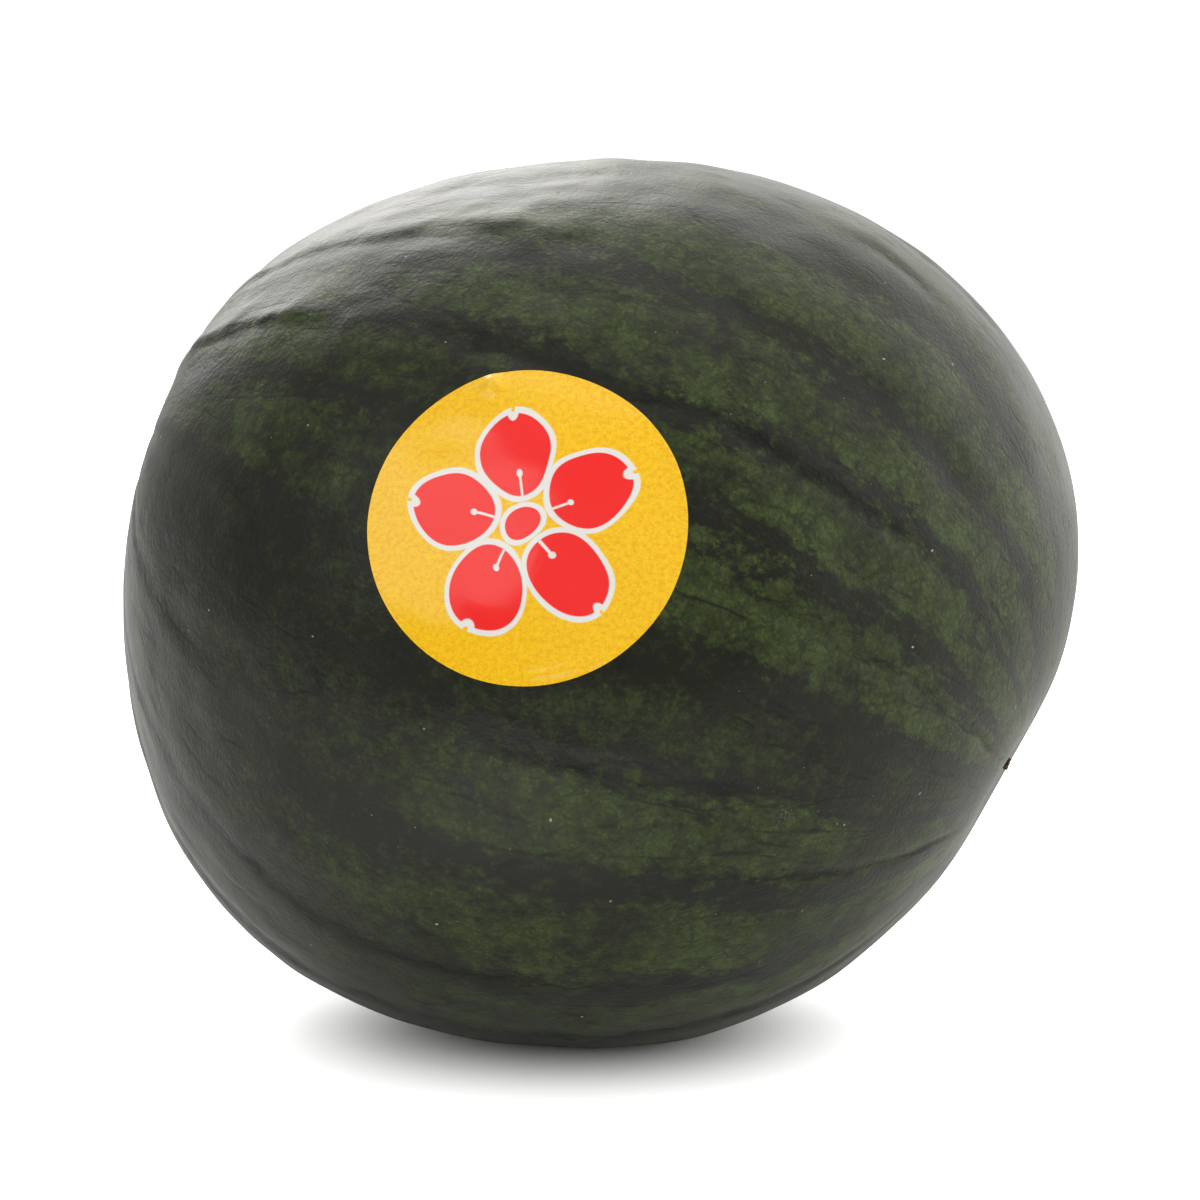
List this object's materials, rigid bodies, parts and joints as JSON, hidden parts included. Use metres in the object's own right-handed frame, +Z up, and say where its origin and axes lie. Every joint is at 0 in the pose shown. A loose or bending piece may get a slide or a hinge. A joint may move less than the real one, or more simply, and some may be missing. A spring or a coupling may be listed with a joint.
{
  "type": "watermelon",
  "caption": "Whole rounded watermelon lying on its side on a small flat spot, with a faintly ribbed dark rind, a dry blossom scar, a cut stem stub and a round paper label.",
  "frame": {"origin": "on the surface the fruit rests on, under the middle of its outline", "axes": "+X to the right, towards the blossom end; -Y to the front, where the label is; +Z up"},
  "size_m": [0.2441, 0.2385, 0.225],
  "materials": {
    "rind": "satin",
    "dry_cork": "matte",
    "dry_stem": "matte",
    "label_paper": "satin"
  },
  "bodies": {
    "root": {"watermelon_body": "rind", "blossom_scar": "dry_cork", "stem_stub": "dry_stem", "round_label": "label_paper"}
  },
  "joints": []
}
